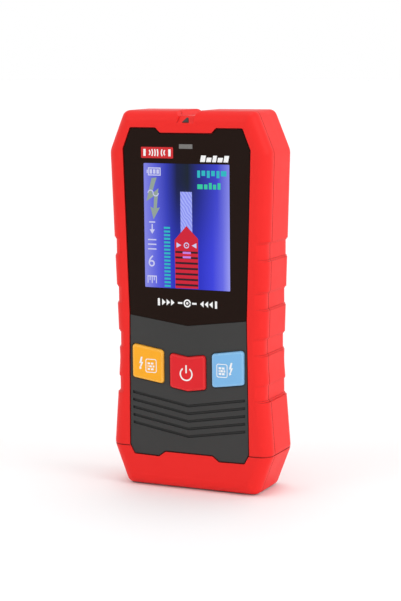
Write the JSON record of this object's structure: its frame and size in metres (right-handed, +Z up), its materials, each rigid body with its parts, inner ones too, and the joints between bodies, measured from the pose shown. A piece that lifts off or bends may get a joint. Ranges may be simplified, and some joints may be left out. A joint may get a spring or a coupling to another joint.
{
  "type": "stud finder",
  "caption": "Hand-held wall scanner with an octagonal waisted case, framed colour display, three coloured keys, chevron ribs, a top marking groove and a hinged battery door",
  "frame": {"origin": "middle of the footprint of the flat bottom end, at floor level when the scanner stands upright", "axes": "+X to the right seen from the front, +Y from the display towards the back that slides on the wall, +Z up towards the marking groove"},
  "size_m": [0.0678, 0.027, 0.147],
  "materials": {
    "red_shell": "satin moulded red plastic",
    "clear_lens": "clear scratch-resistant plastic",
    "black_print": "black printed film",
    "foam_tape": "black double-sided tape",
    "grey_panel": "fine matte dark grey plastic",
    "frosted": "frosted light pipe",
    "orange_key": "satin orange key",
    "red_key": "satin red key",
    "blue_key": "satin light blue key",
    "plunger": "black switch plunger",
    "lcd": "polarised display glass",
    "diffuser": "white back light",
    "steel_frame": "bright folded steel",
    "flex": "amber flexible circuit",
    "ivory": "ivory connector plastic",
    "green_board": "green solder mask",
    "tin": "tinned metal",
    "black_epoxy": "black moulded component",
    "led": "clear-topped lamp",
    "can": "aluminium can",
    "copper": "copper plates and wire",
    "ferrite": "sintered ferrite",
    "bobbin": "black coil former",
    "cell": "printed steel battery case",
    "gold": "gold-plated pins",
    "snap": "soft black vinyl",
    "red_wire": "red wire cover",
    "black_wire": "black wire cover",
    "foam": "soft black foam",
    "felt": "dark felt",
    "screw_steel": "black oxide screws",
    "marker": "dark marker"
  },
  "bodies": {
    "case": {"front_shell": "red_shell", "rear_shell": "red_shell", "display_lens": "clear_lens", "lens_mask": "black_print", "lens_tape": "foam_tape", "status_light_pipe": "frosted", "control_panel": "grey_panel", "lcd_glass": "lcd", "lcd_backlight": "diffuser", "lcd_frame": "steel_frame", "display_ribbon": "flex", "ribbon_socket": "ivory", "main_board": "green_board", "switch_bases": "black_epoxy", "switch_housings": "tin", "indicator_led": "led", "processor_chip": "black_epoxy", "processor_legs": "tin", "amplifier_chips": "black_epoxy", "electrolytic_capacitors": "can", "chip_resistors": "black_epoxy", "clock_crystal": "can", "voltage_regulator": "black_epoxy", "regulator_legs": "tin", "buzzer": "black_epoxy", "link_socket": "black_epoxy", "board_screws": "screw_steel", "sensor_board": "green_board", "sensing_plates": "copper", "coil_bobbin": "bobbin", "sensing_coil": "copper", "ferrite_core": "ferrite", "sensor_screws": "screw_steel", "link_header": "black_epoxy", "link_pins": "gold", "battery": "cell", "battery_terminals": "tin", "snap_connector": "snap", "red_lead": "red_wire", "black_lead": "black_wire", "case_screws": "screw_steel", "centre_marker": "marker", "glide_pads": "felt"},
    "left_key": {"left_key": "orange_key", "left_plunger": "plunger"},
    "power_key": {"power_key": "red_key", "power_plunger": "plunger"},
    "right_key": {"right_key": "blue_key", "right_plunger": "plunger"},
    "door": {"battery_door": "red_shell", "door_foam": "foam"}
  },
  "joints": [
    {"name": "left_press", "type": "slide", "parent": "case", "child": "left_key", "axis": [0, 1, 0], "range_m": [0, 0.0005], "stiffness_N_per_m": 3000, "springref_m": -0.0005},
    {"name": "power_press", "type": "slide", "parent": "case", "child": "power_key", "axis": [0, 1, 0], "range_m": [0, 0.0005], "stiffness_N_per_m": 3000, "springref_m": -0.0005},
    {"name": "right_press", "type": "slide", "parent": "case", "child": "right_key", "axis": [0, 1, 0], "range_m": [0, 0.0005], "stiffness_N_per_m": 3000, "springref_m": -0.0005},
    {"name": "door_hinge", "type": "hinge", "parent": "case", "child": "door", "pos_m": [0, 0.013, 0.0105], "axis": [-1, 0, 0], "range_deg": [0, 80]}
  ]
}
